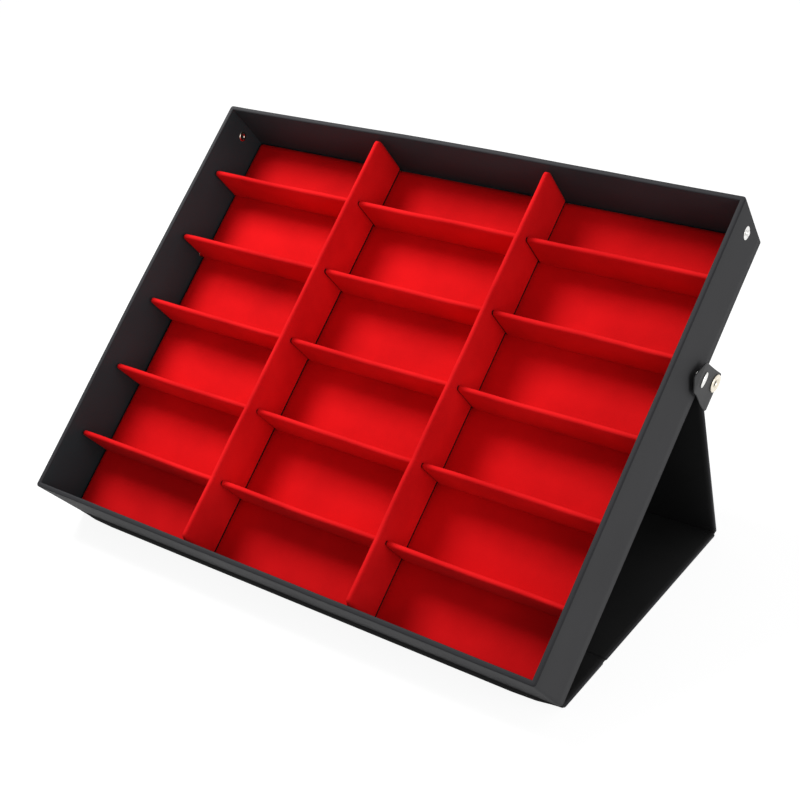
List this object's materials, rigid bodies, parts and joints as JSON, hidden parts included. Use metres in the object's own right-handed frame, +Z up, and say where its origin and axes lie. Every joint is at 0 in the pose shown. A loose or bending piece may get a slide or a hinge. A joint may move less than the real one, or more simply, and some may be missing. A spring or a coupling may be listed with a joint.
{
  "type": "sunglasses display case",
  "caption": "Shallow lined tray with a slotted divider grid for folded sunglasses, propped open on its own folding three-panel cover with snap straps.",
  "frame": {"origin": "centre of the bounding box at the ground", "axes": "+X across the case, +Y from its low front edge towards its raised back edge, +Z up"},
  "size_m": [0.4918, 0.3221, 0.289],
  "materials": {
    "leatherette": "black grained leatherette over board",
    "leatherette_strap": "black grained leatherette strap",
    "velvet": "red velvet",
    "velvet_pad": "red velvet over foam",
    "snap_metal": "bright nickel plate"
  },
  "bodies": {
    "tray": {"tray_bottom_board": "leatherette", "tray_front_wall": "leatherette", "tray_back_wall": "leatherette", "tray_left_wall": "leatherette", "tray_right_wall": "leatherette", "floor_pad": "velvet_pad", "column_divider_left": "velvet", "column_divider_right": "velvet", "row_divider_1": "velvet", "row_divider_2": "velvet", "row_divider_3": "velvet", "row_divider_4": "velvet", "row_divider_5": "velvet", "fold_front": "leatherette", "snap_studs": "snap_metal", "snap_eyelets": "snap_metal"},
    "spine": {"spine_panel": "leatherette", "fold_spine": "leatherette"},
    "base": {"base_panel": "leatherette", "fold_rear": "leatherette"},
    "riser": {"riser_panel": "leatherette", "strap_anchor_left": "leatherette_strap", "strap_anchor_right": "leatherette_strap", "strap_rivets": "snap_metal"},
    "strap_left": {"strap_base_left": "leatherette_strap"},
    "strap_right": {"strap_base_right": "leatherette_strap"},
    "flap_left": {"strap_flap_left": "leatherette_strap", "snap_cap_left": "snap_metal"},
    "flap_right": {"strap_flap_right": "leatherette_strap", "snap_cap_right": "snap_metal"}
  },
  "joints": [
    {"name": "cover_fold", "type": "hinge", "parent": "tray", "child": "spine", "pos_m": [0, -0.12346, 0.0016], "axis": [-1, 0, 0], "range_deg": [0, 229.8]},
    {"name": "spine_fold", "type": "hinge", "parent": "spine", "child": "base", "pos_m": [0, -0.06026, 0.0016], "axis": [-1, 0, 0], "range_deg": [0, 90]},
    {"name": "riser_fold", "type": "hinge", "parent": "base", "child": "riser", "pos_m": [0, 0.13274, 0.0016], "axis": [-1, 0, 0], "range_deg": [0, 106.4]},
    {"name": "strap_turn_left", "type": "hinge", "parent": "riser", "child": "strap_left", "pos_m": [-0.2375, 0.08557, 0.1618], "axis": [-1, 0, 0], "range_deg": [0, 133.79]},
    {"name": "flap_lift_left", "type": "hinge", "parent": "strap_left", "child": "flap_left", "pos_m": [-0.24, 0.07055, 0.17039], "axis": [0, -0.497, -0.8678], "range_deg": [0, 75]},
    {"name": "strap_turn_right", "type": "hinge", "parent": "riser", "child": "strap_right", "pos_m": [0.2375, 0.08557, 0.1618], "axis": [-1, 0, 0], "range_deg": [0, 133.79]},
    {"name": "flap_lift_right", "type": "hinge", "parent": "strap_right", "child": "flap_right", "pos_m": [0.24, 0.07055, 0.17039], "axis": [0, 0.497, 0.8678], "range_deg": [0, 75]}
  ]
}
